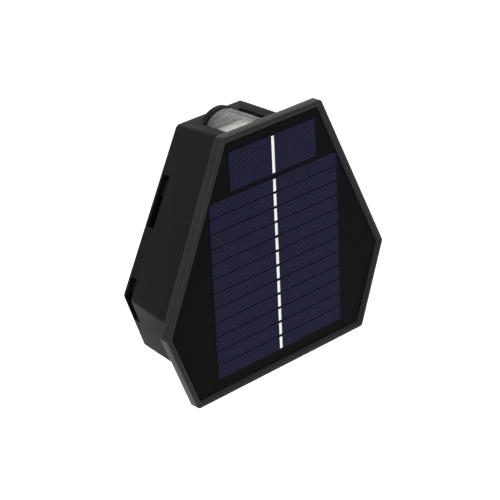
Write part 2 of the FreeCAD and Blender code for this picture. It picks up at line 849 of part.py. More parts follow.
def battery_leads():
    end_x = contact_face + contact_thickness / 2
    lead_front = cell_depth - battery_lead_past
    right = [
        (end_x, cell_depth, contact_tail_end),
        (end_x, cell_depth, contact_tail_end - lead_drop),
        ((end_x + battery_plug_x) / 2, (cell_depth + plug_wire_depth) / 2, lead_height),
        (battery_plug_x + wire_half_spacing, plug_wire_depth, lead_height),
        (battery_plug_x + wire_half_spacing, plug_wire_depth, plug_top),
    ]
    left = [
        (-end_x, cell_depth, contact_tail_end),
        (-end_x, cell_depth, contact_tail_end - lead_drop),
        (-end_x / 2, lead_front, lead_height),
        (0, lead_front, lead_height),
        (battery_plug_x - wire_half_spacing, plug_wire_depth, lead_height),
        (battery_plug_x - wire_half_spacing, plug_wire_depth, plug_top),
    ]
    return group(tube([at(*point) for point in path], wire_radius) for path in (right, left))


# --- push switch and its button -----------------------------------------------------------------------
def switch_body():
    low = circuit_leg_bottom
    body = box(
        button_x - switch_half, button_x + switch_half, switch_front, circuit_front, low, low + switch_height
    )
    bore_radius = plunger_radius + plunger_clearance
    bore_end = low + plunger_in + button_travel + plunger_clearance
    return body.cut(pin_up(button_x, button_depth, low, bore_end, bore_radius))


def switch_plunger():
    low = circuit_leg_bottom
    return pin_up(button_x, button_depth, low - plunger_out, low + plunger_in, plunger_radius)


def mode_button():
    flange_low = inner_bottom + button_clearance
    cap = pin_up(button_x, button_depth, button_bottom, flange_low, button_radius)
    rim = [e for e in cap.Edges if all(abs(v.Z - (widest_z + button_bottom)) < 1e-6 for v in e.Vertexes)]
    cap = cap.makeFillet(button_edge_radius, rim)
    flange = pin_up(button_x, button_depth, flange_low, flange_low + button_flange, button_flange_radius)
    stem_top = circuit_leg_bottom - plunger_out
    stem = pin_up(button_x, button_depth, flange_low, stem_top, button_stem_radius)
    return merged(cap, flange, stem)


# --- wall bracket -------------------------------------------------------------------------------------
def wall_bracket():
    """A flat plate on the wall with four tabs. The housing's sides close on them as it is lowered."""
    top, mid, low = body_corners
    side_inset = skirt + bracket_clearance
    rising = -face_axes(mid, low)[1][1] * lift_travel
    insets = (
        -bracket_top_inset, -side_inset, -side_inset - rising, -side_inset - lift_travel
    )
    plate_front = wall_plane - bracket_thickness
    plate = prism(hexagon(body_corners, insets), plate_front, wall_plane, bracket_corner_radius)
    edge = hexagon(body_corners, (-bracket_top_inset, -skirt, -skirt, -skirt))
    flange = prism(edge, wall_plane - bracket_flange, wall_plane, bracket_corner_radius)
    pieces = []
    tab_front, tab_back = slot_front + tab_slack, slot_back - tab_clearance
    root = -side_inset - tab_root
    tabs = ((upper_tab_start, upper_tab_length), (corner_tab_start, corner_tab_length))
    posts = ((upper_tab_start, upper_tab_length), (corner_post_start, corner_post_length))
    for (start, length), (post_start, post_length) in zip(tabs, posts):
        tab = strip_along(top, mid, start, start + length, -tab_short, root)
        post = strip_along(top, mid, post_start, post_start + post_length, -side_inset, root)
        for shape in (tab, mirrored(tab)):
            pieces.append(prism(shape, tab_front, tab_back))
        for shape in (post, mirrored(post)):
            pieces.append(prism(shape, tab_front, plate_front + bracket_thickness / 2))
    heights = [holes_height - screw_spacing / 2, holes_height + screw_spacing / 2]
    pieces += [pin_back(0, h, plate_front - pad_height, plate_front, pad_radius) for h in heights]
    holes = [pin_back(0, h, plate_front - pad_height, wall_plane, screw_hole_radius) for h in heights]
    return merged(plate, flange, *pieces).cut(holes)


def build():
    """Every node by name."""
    nodes = {
        "wall_bracket": wall_bracket(),
        "housing": housing(),
        "housing_gasket": housing_gasket(),
        "housing_screws": housing_screws(),
        "front_bezel": front_bezel(),
        "panel_adhesive": panel_adhesive(),
        "panel_board": panel_board(),
        "solar_cells": solar_cells(),
        "busbar_ribbons": busbar_ribbons(),
        "panel_terminals": panel_terminals(),
        "panel_leads": panel_leads(),
        "battery_cell": battery_cell(),
        "battery_holder": battery_holder(),
        "battery_contacts": battery_contacts(),
        "battery_leads": battery_leads(),
        "holder_screws": holder_screws(),
        "circuit_board": circuit_board(),
        "board_components": board_components(),
        "wire_connectors": wire_connectors(),
        "board_screws": board_screws(),
        "switch_body": switch_body(),
        "switch_plunger": switch_plunger(),
        "mode_button": mode_button(),
        "top_led_leads": top_led_leads(),
        "bottom_led_leads": bottom_led_leads(),
    }
    for index, (name, plane, up) in enumerate((("top", inner_top, 1), ("bottom", inner_bottom, -1))):
        nodes[name + "_lens"] = lens(plane, up)
        nodes[name + "_lens_gasket"] = lens_gasket(plane, up)
        nodes[name + "_reflector"] = reflector(plane, up)
        nodes[name + "_led_board"] = led_board(plane, up)
        nodes[name + "_leds"] = leds(plane, up)
        nodes[name + "_lamp_screws"] = lamp_screws(index)
    return nodes


os.makedirs("parts", exist_ok=True)
for node, shape in build().items():
    shape.exportStep(f"parts/{node}.step")
    state = "" if shape.isValid() else "INVALID"
    print(node, len(shape.Solids), "solids", round(shape.Volume, 1), "mm3", state)
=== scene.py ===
"""Looks, stage and camera of a solar fence light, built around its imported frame.

Metres, +Z up, the front faces -Y. Sizes below are in millimetres, as on the drawing. A place is given by
x, by its depth d behind the tray's front and by its height h above the tray's widest line.
"""

import json
from math import cos, hypot, pi, radians, sin, tan

import bmesh
import bpy
from bpy.props import FloatProperty, FloatVectorProperty, IntProperty, PointerProperty
from mathutils import Matrix, Vector


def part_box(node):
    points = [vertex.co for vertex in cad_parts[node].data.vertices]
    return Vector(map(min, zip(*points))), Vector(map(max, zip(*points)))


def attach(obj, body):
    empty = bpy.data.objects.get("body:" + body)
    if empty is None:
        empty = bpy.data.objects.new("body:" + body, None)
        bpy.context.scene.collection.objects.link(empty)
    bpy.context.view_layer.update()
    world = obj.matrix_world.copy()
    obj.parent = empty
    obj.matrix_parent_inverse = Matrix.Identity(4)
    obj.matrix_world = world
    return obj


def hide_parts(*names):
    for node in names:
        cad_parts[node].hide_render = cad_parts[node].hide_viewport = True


bl_info = {
    "name": "Solar fence light",
    "version": (1, 0, 0),
    "blender": (4, 5, 0),
    "location": "View3D > Sidebar > Fence light",
    "description": "Builds a hexagonal solar fence light piece by piece",
    "category": "Object",
}

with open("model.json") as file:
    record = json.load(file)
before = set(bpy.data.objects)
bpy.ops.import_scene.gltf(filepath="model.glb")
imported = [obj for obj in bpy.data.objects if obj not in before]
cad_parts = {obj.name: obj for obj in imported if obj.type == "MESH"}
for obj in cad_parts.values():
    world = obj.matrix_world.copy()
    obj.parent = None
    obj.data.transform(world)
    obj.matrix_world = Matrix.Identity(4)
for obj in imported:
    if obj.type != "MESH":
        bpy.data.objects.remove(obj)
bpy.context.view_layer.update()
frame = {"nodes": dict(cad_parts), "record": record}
NODES = frame["nodes"]
MM = 0.001

# --- sizes, in millimetres ---------------------------------------------------------------------------
# the right half's corners, as x and height: top, widest and bottom
BEZEL_CORNERS = ((23.7, 65.0), (54.0, 0.0), (41.9, -31.7))
BODY_CORNERS = ((15.7, 59.3), (45.4, 3.7), (37.4, -19.9))
DRAFTS = (0.6, -0.65, 2.6, 2.8)  # how far the housing's top, upper, lower and bottom sides widen to the front
BEZEL_CORNER_RADIUS, LEAST_BEZEL_RADIUS = 1.6, 0.6
BODY_CORNER_RADIUS, LEAST_BODY_RADIUS, CAVITY_CORNER_RADIUS = 2.0, 0.8, 1.5
LAMP_DEPTH, BEZEL_DEPTH, TRAY_FLOOR = 32.9, 4.1, 2.9
LIP_WIDTH, LIP_BEVEL, PANEL_RECESS = 2.5, 0.9, 0.9
LIP_RIDGE = ((-0.25, 0), (-0.08, 0.03), (0.1, 0.12))  # the turn into the bevel: inset and depth
LIP_FOOT = 0.1  # half the turn where the bevel meets the panel
WALL, RIM_LIP, SEAL_DEPTH, SKIRT = 2.2, 1.1, 1.0, 2.0
BACK_EDGE_RADIUS, SKIRT_CHAMFER = 0.4, 0.15
RIB_CLEARANCE, RIB_THICKNESS, RIB_HEIGHT, RIB_CHAMFER = 0.4, 1.2, 2.5, 0.2
TRAY_BOSS_RADIUS, TRAY_BORE_RADIUS = 3.4, 1.48
REAR_WALL_FRONT, REAR_WALL_BACK = 27.4, 29.2
# a slot's depths, and its ends measured along the side that it is in
SLOT_FRONT, SLOT_BACK, SLOT_START, SLOT_END = 28.6, 31.7, 17.8, 37.2
CORNER_SLOT_START, CORNER_SLOT_TAIL, TAIL_BACK = 55.9, 11.5, 32.4
SLOT_OVER, SLOT_PAST = 1.0, 0.5  # how far the cutter stands out of the skirt, outside and inside
OPENING_HALF, OPENING_FRONT, OPENING_BACK = 9.7, 8.7, 26.4
ARCH_THICKNESS, FRONT_ARCH_THICKNESS, LENS_AXIS_DROP = 2.5, 2.0, 4.2
ARCH_FOOT = 0.3  # how far out of the housing's inner face an arch starts
LENS_CLEARANCE, LENS_WALL, FLANGE_OVERLAP, FLANGE_CLEARANCE = 0.3, 1.4, 1.8, 0.4
GASKET_THICKNESS, FLANGE_THICKNESS, LENS_EDGE_RADIUS = 0.8, 1.2, 0.35
COLUMNS = ((16.5, 42.0), (33.0, -10.5))  # x and height, as for the bosses below
SCREW_PLACES = [(side * x, h) for side in (-1, 1) for x, h in COLUMNS]
COLUMN_RADIUS, COLUMN_FRONT, COUNTERBORE_RADIUS, HEAD_SEAT, SCREW_HOLE_RADIUS = 4.2, 9.0, 3.2, 17.0, 1.7
BOSS_FRONT, HOLDER_BACK, BOSS_RADIUS, BORE_RADIUS, BORE_DEPTH = 23.4, 23.95, 2.5, 1.03, 3.5
BOSSES = ((-24.0, 4.6), (25.0, 5.6), (15.6, -9.9), (-4.5, 43.5), (4.5, 43.5), (-4.5, -4.1), (4.5, -4.1))
HOLDER_BOSSES = ((-18.0, 33.6), (18.0, 12.4))
OVERLAP = 0.6  # how far a post runs into the rear wall
# a screw's rings, as radius and depth behind the head's seat
SCREW_POINT = ((0.4, -11.5), (1.1, -10.6))
SCREW_THREAD = ((1.1, -10.4), (1.45, -10.1), (1.45, -10.0), (1.1, -9.7))  # its first turn
THREAD_PITCH, THREAD_TURNS = 0.8, 12
SCREW_HEAD = ((1.3, 0), (2.7, 0), (2.8, 0.15), (2.8, 1.1), (2.55, 1.7), (1.9, 2.08), (1.2, 2.2))
HEAD_HEIGHT, CROSS_REACH, CROSS_HALF_WIDTH, CROSS_DEPTH = 2.2, 1.7, 0.4, 1.2
BUTTON_X, BUTTON_DEPTH, BUTTON_RADIUS, BUTTON_CLEARANCE = 21.5, 18.8, 3.8, 0.3
# the rings of the button's face, as radius and height over its foot
BUTTON_FACE = ((2.4, 0.35), (2.9, 0.12), (3.3, 0), (3.6, 0.12), (3.75, 0.35), (3.8, 0.7))
BUTTON_FLANGE_RADIUS, BUTTON_FLANGE_THICKNESS, BUTTON_FLANGE_EDGE, BUTTON_STEM_RADIUS = 5.2, 1.2, 0.2, 1.8
CELL_HALF, CELL_PITCH, CELL_GAP, CELL_TOP, CELL_COUNT = 31.25, 5.65, 0.35, 42.9, 12
TOP_CELL = (21.1, 44.4, 58.9)  # half its width, its lowest and its highest point
CELL_FIELD_INSET = 3.1  # from the tray's outline to the cells
FINGER_THICKNESS, FINGER_MARGIN = 0.015, 0.5
RIBBON_HALF, RIBBON_GAP, RIBBON_THICKNESS, RIBBON_EDGE_RADIUS = 0.65, 1.0, 0.1, 0.04

tray_low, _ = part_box("front_bezel")
FRONT_Y = tray_low.y
WIDEST_Z = tray_low.z - BEZEL_CORNERS[2][1] * MM
INNER_TOP = BODY_CORNERS[0][1] - WALL
INNER_BOTTOM = BODY_CORNERS[2][1] + WALL
LENS_SIDES = ((INNER_TOP, 1), (INNER_BOTTOM, -1))  # the inner face that each lens sits on, and its way out
QUARTER = [(1 - cos(k * pi / 8), 1 - sin(k * pi / 8)) for k in range(5)]  # a rounded edge of radius 1
HALFWAY = 0.3  # of a rounded edge's radius: how far its middle lies from either face

# --- stage, in metres and watts --------------------------------------------------------------------------
SOFTBOXES = (  # name, place, width, power for a key light of 1
    ("left_softbox", (-1.3, -0.25, 0.75), 0.8, 14),
    ("top_softbox", (0.15, -0.1, 1.4), 0.9, 7),
    ("front_softbox", (0.5, -1.5, 0.5), 0.9, 5),
    ("back_softbox", (0.6, 1.5, 0.7), 1.0, 2),
)
FLOOR_WIDTH, FLOOR_GLOW = 14, 0.6
CAMERA_PLACE = (-0.42768, -0.48227, 0.29360)
CAMERA_RIGHT = Vector((0.71976, -0.69283, -0.04398))
CAMERA_DOWN = Vector((-0.32769, -0.28321, -0.90134))
CAMERA_AHEAD = Vector((0.61202, 0.66316, -0.43087))
SENSOR_WIDTH, FOCAL_LENGTH = 36, 139.85  # millimetres


# --- outlines ------------------------------------------------------------------------------------------
def point(x, d, h):
    """The place at x, depth d and height h, all in millimetres."""
    return Vector((x * MM, FRONT_Y + d * MM, WIDEST_Z + h * MM))


def hexagon(corners, offsets):
    """A mirrored hexagon's corners, with its top, upper, lower and bottom sides moved out by offsets."""
    top, mid, low = corners
    lines = [((0, 1), top[1] + offsets[0])]
    for a, b, offset in ((top, mid, offsets[1]), (mid, low, offsets[2])):
        length = hypot(b[0] - a[0], b[1] - a[1])
        outward = ((a[1] - b[1]) / length, (b[0] - a[0]) / length)
        lines.append((outward, outward[0] * a[0] + outward[1] * a[1] + offset))
    lines.append(((0, -1), -low[1] + offsets[3]))
    right = []
    for (n1, c1), (n2, c2) in zip(lines, lines[1:]):
        det = n1[0] * n2[1] - n1[1] * n2[0]
        right.append(((c1 * n2[1] - c2 * n1[1]) / det, (n1[0] * c2 - n2[0] * c1) / det))
    return right + [(-x, h) for x, h in reversed(right)]


def rounded(corners, radius, steps=8):
    """The outline's points, with each corner turned on an arc."""
    result = []
    for i, corner in enumerate(corners):
        here = Vector(corner)
        back = (Vector(corners[i - 1]) - here).normalized()
        on = (Vector(corners[(i + 1) % len(corners)]) - here).normalized()
        turn = pi - back.angle(on)
        centre = here + (back + on).normalized() * radius / cos(turn / 2)
        reach = radius * tan(turn / 2)
        first, last = here + back * reach - centre, here + on * reach - centre
        for k in range(steps + 1):
            result.append(centre + first.slerp(last, k / steps).normalized() * radius)
    return result


def ring(points, d):
    return [point(x, d, h) for x, h in points]


def tray_ring(inset, d):
    """The tray's outline at depth d, moved in by inset."""
    outline = hexagon(BEZEL_CORNERS, [-inset] * 4)
    return ring(rounded(outline, max(BEZEL_CORNER_RADIUS - inset, LEAST_BEZEL_RADIUS)), d)


def body_ring(inset, d):
    """The housing's outline at depth d, moved in by inset."""
    share = 1 - d / LAMP_DEPTH
    outline = hexagon(BODY_CORNERS, [draft * share - inset for draft in DRAFTS])
    return ring(rounded(outline, max(BODY_CORNER_RADIUS - inset, LEAST_BODY_RADIUS)), d)


def cavity_ring(inset, d, place=None):
    """The housing's inside at depth d, with its top and bottom level. The ring may lie at another place."""
    share = 1 - d / LAMP_DEPTH
    sides = [draft * share - WALL - inset for draft in DRAFTS[1:3]]
    outline = hexagon(BODY_CORNERS, [-WALL - inset, *sides, -WALL - inset])
    return ring(rounded(outline, CAVITY_CORNER_RADIUS), d if place is None else place)


def circle(x, d, h, radius, upright=False, count=48):
    """A ring of points round an axis that runs from front to back, or upright."""
    turns = [2 * pi * k / count for k in range(count)]
    if upright:
        return [point(x + radius * cos(a), d + radius * sin(a), h) for a in turns]
    return [point(x + radius * cos(a), d, h + radius * sin(a)) for a in turns]


def beside(start, end, outer, inner, lower=False):
    """A strip beside an upper or lower side face: start to end along it, outer to inner across it."""
    a, b = BODY_CORNERS[1:] if lower else BODY_CORNERS[:2]
    length = hypot(b[0] - a[0], b[1] - a[1])
    u = ((b[0] - a[0]) / length, (b[1] - a[1]) / length)
    return [
        (a[0] + u[0] * s - u[1] * o, a[1] + u[1] * s + u[0] * o)
        for s, o in ((start, outer), (end, outer), (end, inner), (start, inner))
    ]


def mirrored(points):
    return [(-x, h) for x, h in reversed(points)]


# --- modelling tools -----------------------------------------------------------------------------------
def alone(piece=None):
    """Leaves only this piece selected and active."""
    bpy.ops.object.select_all(action="DESELECT")
    if piece:
        piece.select_set(True)
        bpy.context.view_layer.objects.active = piece


def loft(name, rings):
    """Extrudes a circle's loop through the given rings of points, and closes both ends."""
    alone()
    bpy.ops.mesh.primitive_circle_add(vertices=len(rings[0]), radius=MM)
    piece = bpy.context.object
    piece.name = piece.data.name = name
    for vertex, place in zip(piece.data.vertices, rings[0]):
        vertex.co = place
    bpy.ops.object.mode_set(mode="EDIT")
    bpy.ops.mesh.select_mode(type="VERT")
    loop = list(range(len(rings[0])))
    for places in rings[1:]:
        bpy.ops.mesh.extrude_region_move()
        mesh = bmesh.from_edit_mesh(piece.data)
        mesh.verts.ensure_lookup_table()
        loop = [
            next(e.other_vert(v).index for e in v.link_edges if e.other_vert(v).select)
            for v in (mesh.verts[i] for i in loop)
        ]
        for i, place in zip(loop, places):
            mesh.verts[i].co = place
        bmesh.update_edit_mesh(piece.data)
    bpy.ops.mesh.edge_face_add()
    bpy.ops.mesh.select_all(action="DESELECT")
    mesh = bmesh.from_edit_mesh(piece.data)
    for vertex in mesh.verts:
        if vertex.index < len(rings[0]):
            vertex.select_set(True)
    mesh.select_flush_mode()
    bmesh.update_edit_mesh(piece.data)
    bpy.ops.mesh.edge_face_add()
    bpy.ops.mesh.select_all(action="SELECT")
    bpy.ops.mesh.normals_make_consistent(inside=False)
    bpy.ops.object.mode_set(mode="OBJECT")
    piece.location = (0, 0, 0)
    return piece


def above(height, up):
    """Cuts the piece in hand at a height, keeps the side that up points to, and closes the cut."""
    bpy.ops.object.mode_set(mode="EDIT")
    bpy.ops.mesh.select_all(action="SELECT")
    bpy.ops.mesh.bisect(
        plane_co=point(0, 0, height), plane_no=(0, 0, up), use_fill=True, clear_inner=True
    )
    bpy.ops.object.mode_set(mode="OBJECT")


def block(name, x0, x1, d0, d1, h0, h1):
    """A box between two x, two depths and two heights."""
    h0, h1 = sorted((h0, h1))
    low, high = point(x0, d0, h0), point(x1, d1, h1)
    alone()
    bpy.ops.mesh.primitive_cube_add(size=1, location=(low + high) / 2, scale=high - low)
    piece = bpy.context.object
    piece.name = piece.data.name = name
    bpy.ops.object.transform_apply(location=True, rotation=True, scale=True)
    return piece


def prism(name, points, d0, d1):
    """A straight block with the given outline between two depths."""
    return loft(name, [ring(points, d0), ring(points, d1)])


def pin(name, x, h, d0, d1, radius, count=48):
    """A round pin that runs from front to back."""
    return loft(name, [circle(x, d0, h, radius, count=count), circle(x, d1, h, radius, count=count)])


def joined(name, pieces):
    """Makes one piece of several."""
    alone(pieces[0])
    for piece in pieces:
        piece.select_set(True)
    if len(pieces) > 1:
        bpy.ops.object.join()
    pieces[0].name = pieces[0].data.name = name
    return pieces[0]


def combine(piece, others, operation):
    """Adds the others to the piece, or cuts them from it, with one boolean."""
    tool = joined("tool", others)
    alone(piece)
    boolean = piece.modifiers.new("combine", "BOOLEAN")
    boolean.operation, boolean.object, boolean.solver = operation, tool, "EXACT"
    bpy.ops.object.modifier_apply(modifier=boolean.name)
    bpy.data.objects.remove(tool)
    return piece


def soften(piece, width, segments=2, angle=35):
    """Rounds the piece's sharp edges by width, in millimetres."""
    alone(piece)
    bevel = piece.modifiers.new("soften", "BEVEL")
    bevel.width, bevel.segments, bevel.limit_method = width * MM, segments, "ANGLE"
    bevel.angle_limit = radians(angle)
    bpy.ops.object.modifier_apply(modifier=bevel.name)
    return piece


def smooth(piece, angle=30):
    alone(piece)
    bpy.ops.object.shade_smooth_by_angle(angle=radians(angle))
    return piece


def dress(piece, body, slot, *nodes):
    """Gives a finished piece its material, its body and the CAD nodes that it stands for."""
    piece.data.materials.clear()
    piece.data.materials.append(finish(slot))
    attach(piece, body)
    if nodes:
        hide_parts(*nodes)
    return piece


# --- finishes ------------------------------------------------------------------------------------------
def new_group(name, inputs, outputs):
    """An empty shader node group with its sockets: (name, kind, default)."""
    tree = bpy.data.node_groups.new(name, "ShaderNodeTree")
    for label, kind, value in inputs:
        socket = tree.interface.new_socket(label, in_out="INPUT", socket_type="NodeSocket" + kind)
        socket.default_value = value
    for label, kind in outputs:
        tree.interface.new_socket(label, in_out="OUTPUT", socket_type="NodeSocket" + kind)
    return tree, tree.nodes.new("NodeGroupInput"), tree.nodes.new("NodeGroupOutput")


def node(tree, kind, links=(), **values):
    """A node with its settings and its inputs, each linked to a socket or given a value."""
    made = tree.nodes.new("ShaderNode" + kind)
    for key, value in values.items():
        setattr(made, key, value)
    for socket, source in links:
        if hasattr(source, "is_output"):
            tree.links.new(source, made.inputs[socket])
        else:
            made.inputs[socket].default_value = source
    return made


def ramp(tree, source, low, high):
    """0 below low, 1 above high and even between."""
    made = node(tree, "MapRange", [("Value", source), ("From Min", low), ("From Max", high)])
    return made.outputs["Result"]


def surface_group():
    """Mottled colour, uneven gloss and a fine moulded grain."""
    tree, given, out = new_group("surface", [
        ("Colour", "Color", (0.1, 0.1, 0.1, 1)), ("Second colour", "Color", (0.1, 0.1, 0.1, 1)),
        ("Mottle scale", "Float", 60), ("Roughness", "Float", 0.5), ("Roughness spread", "Float", 0.1),
        ("Grain scale", "Float", 4000), ("Stretch", "Vector", (1, 1, 1)),
    ], [("Colour", "Color"), ("Roughness", "Float"), ("Height", "Float")])
    place = node(tree, "TexCoord").outputs["Object"]
    place = node(tree, "VectorMath", [(0, place), (1, given.outputs["Stretch"])], operation="MULTIPLY")
    place = place.outputs["Vector"]
    mottle, grain = (
        node(tree, "TexNoise", [("Vector", place), ("Scale", given.outputs[scale]), ("Detail", detail)])
        for scale, detail in (("Mottle scale", 5.0), ("Grain scale", 3.0))
    )
    tone = ramp(tree, mottle.outputs["Fac"], 0.35, 0.65)
    mix = node(
        tree, "Mix", [(0, tone), (6, given.outputs["Colour"]), (7, given.outputs["Second colour"])],
        data_type="RGBA",
    )
    tree.links.new(mix.outputs[2], out.inputs["Colour"])
    centred = node(tree, "Math", [(0, tone), (1, 0.5)], operation="SUBTRACT").outputs[0]
    spread = given.outputs["Roughness spread"]
    uneven = node(tree, "Math", [(0, centred), (1, spread)], operation="MULTIPLY")
    rough = node(tree, "Math", [(0, uneven.outputs[0]), (1, given.outputs["Roughness"])], operation="ADD")
    tree.links.new(rough.outputs[0], out.inputs["Roughness"])
    tree.links.new(grain.outputs["Fac"], out.inputs["Height"])
    return tree


# slot: colour, second colour, mottle scale, roughness, roughness spread, grain scale, grain height in
# micrometres, metallic, specular level, stretch
FINISHES = {
    "black_plastic": (
        (0.0075, 0.0075, 0.0078), (0.0088, 0.0088, 0.0092),
        40, 0.50, 0.06, 5200, 5, 0, 0.05, None,
    ),
    "bezel_plastic": (
        (0.0120, 0.0120, 0.0123), (0.0140, 0.0140, 0.0144),
        60, 0.34, 0.06, 5200, 2, 0, 0.12, None,
    ),
    # painted shade: the bracket's black plastic is set darker than the housing's, so that where it is seen
    # through the slots it stands in for the shade inside them
    "bracket_plastic": (
        (0.003, 0.003, 0.0031), (0.004, 0.004, 0.0041),
        50, 0.55, 0.08, 4000, 6, 0, 0.04, None,
    ),
    "seal_rubber": (
        (0.10, 0.10, 0.10), (0.13, 0.13, 0.13),
        120, 0.7, 0.1, 3000, 8, 0, 0.3, None,
    ),
    "button_rubber": (
        (0.012, 0.012, 0.013), (0.016, 0.016, 0.017),
        200, 0.62, 0.1, 6000, 5, 0, 0.2, None,
    ),
    "reflector_plastic": (
        (0.86, 0.86, 0.84), (0.90, 0.90, 0.88),
        150, 0.35, 0.1, 3500, 2, 0, 0.5, None,
    ),
    "tinned_ribbon": (
        (0.62, 0.62, 0.60), (0.80, 0.80, 0.78),
        900, 0.38, 0.25, 2500, 12, 1, 0.5, (1, 1, 0.2),
    ),
    "contact_steel": (
        (0.58, 0.57, 0.55), (0.70, 0.69, 0.66),
        300, 0.3, 0.2, 2500, 3, 1, 0.5, (0.2, 1, 1),
    ),
    "finger_silver": (
        (0.040, 0.037, 0.070), (0.048, 0.044, 0.082),
        700, 0.5, 0.1, 3000, 1, 0, 0.1, None,
    ),
    "screw_steel": (
        (0.40, 0.40, 0.41), (0.52, 0.52, 0.53),
        500, 0.34, 0.2, 3000, 4, 1, 0.5, None,
    ),
    "adhesive_foam": (
        (0.03, 0.03, 0.03), (0.06, 0.06, 0.06),
        1500, 0.9, 0.1, 2500, 40, 0, 0.2, None,
    ),
    "battery_sleeve": (
        (0.03, 0.10, 0.28), (0.035, 0.12, 0.32),
        90, 0.3, 0.08, 900, 3, 0, 0.5, None,
    ),
    "holder_plastic": (
        (0.02, 0.02, 0.021), (0.028, 0.028, 0.029),
        80, 0.5, 0.1, 4000, 6, 0, 0.3, None,
    ),
    "wire_insulation": (
        (0.36, 0.03, 0.025), (0.42, 0.04, 0.03),
        300, 0.45, 0.1, 2000, 3, 0, 0.4, None,
    ),
    "led_laminate": (
        (0.80, 0.80, 0.78), (0.84, 0.84, 0.82),
        300, 0.3, 0.1, 2500, 3, 0, 0.5, None,
    ),
    "component_plastic": (
        (0.018, 0.018, 0.02), (0.026, 0.026, 0.028),
        500, 0.55, 0.1, 9000, 4, 0, 0.4, None,
    ),
    "plug_nylon": (
        (0.72, 0.70, 0.62), (0.78, 0.76, 0.68),
        200, 0.4, 0.1, 2500, 3, 0, 0.4, None,
    ),
    "switch_plastic": (
        (0.03, 0.03, 0.03), (0.045, 0.045, 0.045),
        300, 0.5, 0.1, 4000, 4, 0, 0.4, None,
    ),
}


def start_material(slot):
    """A new material, its node tree and its shader, which is linked to the output."""
    made = bpy.data.materials.new(slot)
    made.use_nodes = True
    tree = made.node_tree
    tree.nodes.clear()
    shader = tree.nodes.new("ShaderNodeBsdfPrincipled")
    tree.links.new(shader.outputs[0], tree.nodes.new("ShaderNodeOutputMaterial").inputs[0])
    return made, tree, shader


def use_surface(tree, shader, colour, second, mottle, rough, spread, grain, micrometres, stretch=None):
    """Links the surface group into the shader's colour and roughness, and its grain into the normal."""
    group = tree.nodes.new("ShaderNodeGroup")
    group.node_tree = bpy.data.node_groups.get("surface") or surface_group()
    for label, value in (
        ("Colour", (*colour, 1)), ("Second colour", (*second, 1)), ("Mottle scale", mottle),
        ("Roughness", rough), ("Roughness spread", spread), ("Grain scale", grain),
        ("Stretch", stretch or (1, 1, 1)),
    ):
        group.inputs[label].default_value = value
    tree.links.new(group.outputs["Colour"], shader.inputs["Base Color"])
    tree.links.new(group.outputs["Roughness"], shader.inputs["Roughness"])
    if micrometres:
        height = group.outputs["Height"]
        bump = node(tree, "Bump", [("Height", height), ("Distance", micrometres * 1e-6), ("Strength", 1.0)])
        tree.links.new(bump.outputs["Normal"], shader.inputs["Normal"])
    return group


def plain_finish(slot):
    """A finish from the table."""
    *surface, metallic, specular, stretch = FINISHES[slot]
    made, tree, shader = start_material(slot)
    use_surface(tree, shader, *surface, stretch)
    shader.inputs["Metallic"].default_value = metallic
    shader.inputs["Specular IOR Level"].default_value = specular
    return made


def clear_plastic():
    """Thin and clear, with a grey film that covers more of it where it is seen edge-on: a painted reflection,
    standing in for what clear plastic reflects at grazing angles.
    """
    made, tree, shader = start_material("clear_plastic")
    # painted reflection: the grey colour is a lamp-lit film, not a tint of the plastic
    use_surface(tree, shader, (0.32, 0.32, 0.32), (0.36, 0.36, 0.36), 80, 0.10, 0.02, 400, 0)
    # painted reflection: the grey film's cover rises from the lens's face-on parts to its edge-on parts
    facing = node(tree, "LayerWeight", [("Blend", 0.35)]).outputs["Facing"]
    span = node(tree, "MapRange", [("Value", facing), ("To Min", 0.04), ("To Max", 0.52)])
    tree.links.new(span.outputs["Result"], shader.inputs["Alpha"])
    return made


def panel_laminate():
    """Near-black board with hardly any gloss."""
    made, tree, shader = start_material("panel_laminate")
    use_surface(tree, shader, (0.0034, 0.0034, 0.0037), (0.0042, 0.0042, 0.0045), 120, 0.38, 0.08, 2600, 6)
    shader.inputs["Specular IOR Level"].default_value = 0.02
    return made


def solar_silicon():
    """Dark indigo cells, a little uneven."""
    made, tree, shader = start_material("solar_silicon")
    use_surface(tree, shader, (0.0073, 0.0059, 0.0250), (0.0093, 0.0076, 0.0300), 90, 0.36, 0.1, 3000, 3)
    shader.inputs["Specular IOR Level"].default_value = 0.03
    return made


def circuit_laminate():
    """Green solder mask with lighter tracks under it."""
    made, tree, shader = start_material("circuit_laminate")
    group = use_surface(tree, shader, (0.012, 0.085, 0.035), (0.015, 0.10, 0.04), 200, 0.3, 0.1, 2500, 3)
    place = node(tree, "TexCoord").outputs["Object"]
    tracks = node(tree, "TexBrick", [
        ("Vector", place), ("Scale", 260.0), ("Mortar Size", 0.06),
        ("Color1", (0, 0, 0, 1)), ("Color2", (0, 0, 0, 1)), ("Mortar", (1, 1, 1, 1)),
    ])
    lighter = (0.03, 0.17, 0.07, 1)
    mix = node(
        tree, "Mix", [(0, tracks.outputs["Color"]), (6, group.outputs["Colour"]), (7, lighter)],
        data_type="RGBA",
    )
    tree.links.new(mix.outputs[2], shader.inputs["Base Color"])
    return made


def led_phosphor():
    """Yellow phosphor."""
    made, tree, shader = start_material("led_phosphor")
    use_surface(tree, shader, (0.80, 0.62, 0.16), (0.84, 0.68, 0.22), 900, 0.35, 0.1, 4000, 3)
    return made


SPECIAL_FINISHES = {
    "clear_plastic": clear_plastic, "panel_laminate": panel_laminate, "solar_silicon": solar_silicon,
    "circuit_laminate": circuit_laminate, "led_phosphor": led_phosphor,
}


def finish(slot):
    """The slot's material, made the first time that it is asked for."""
    made = bpy.data.materials.get("finish_" + slot)
    if not made:
        made = SPECIAL_FINISHES[slot]() if slot in SPECIAL_FINISHES else plain_finish(slot)
        made.name = "finish_" + slot
    return made


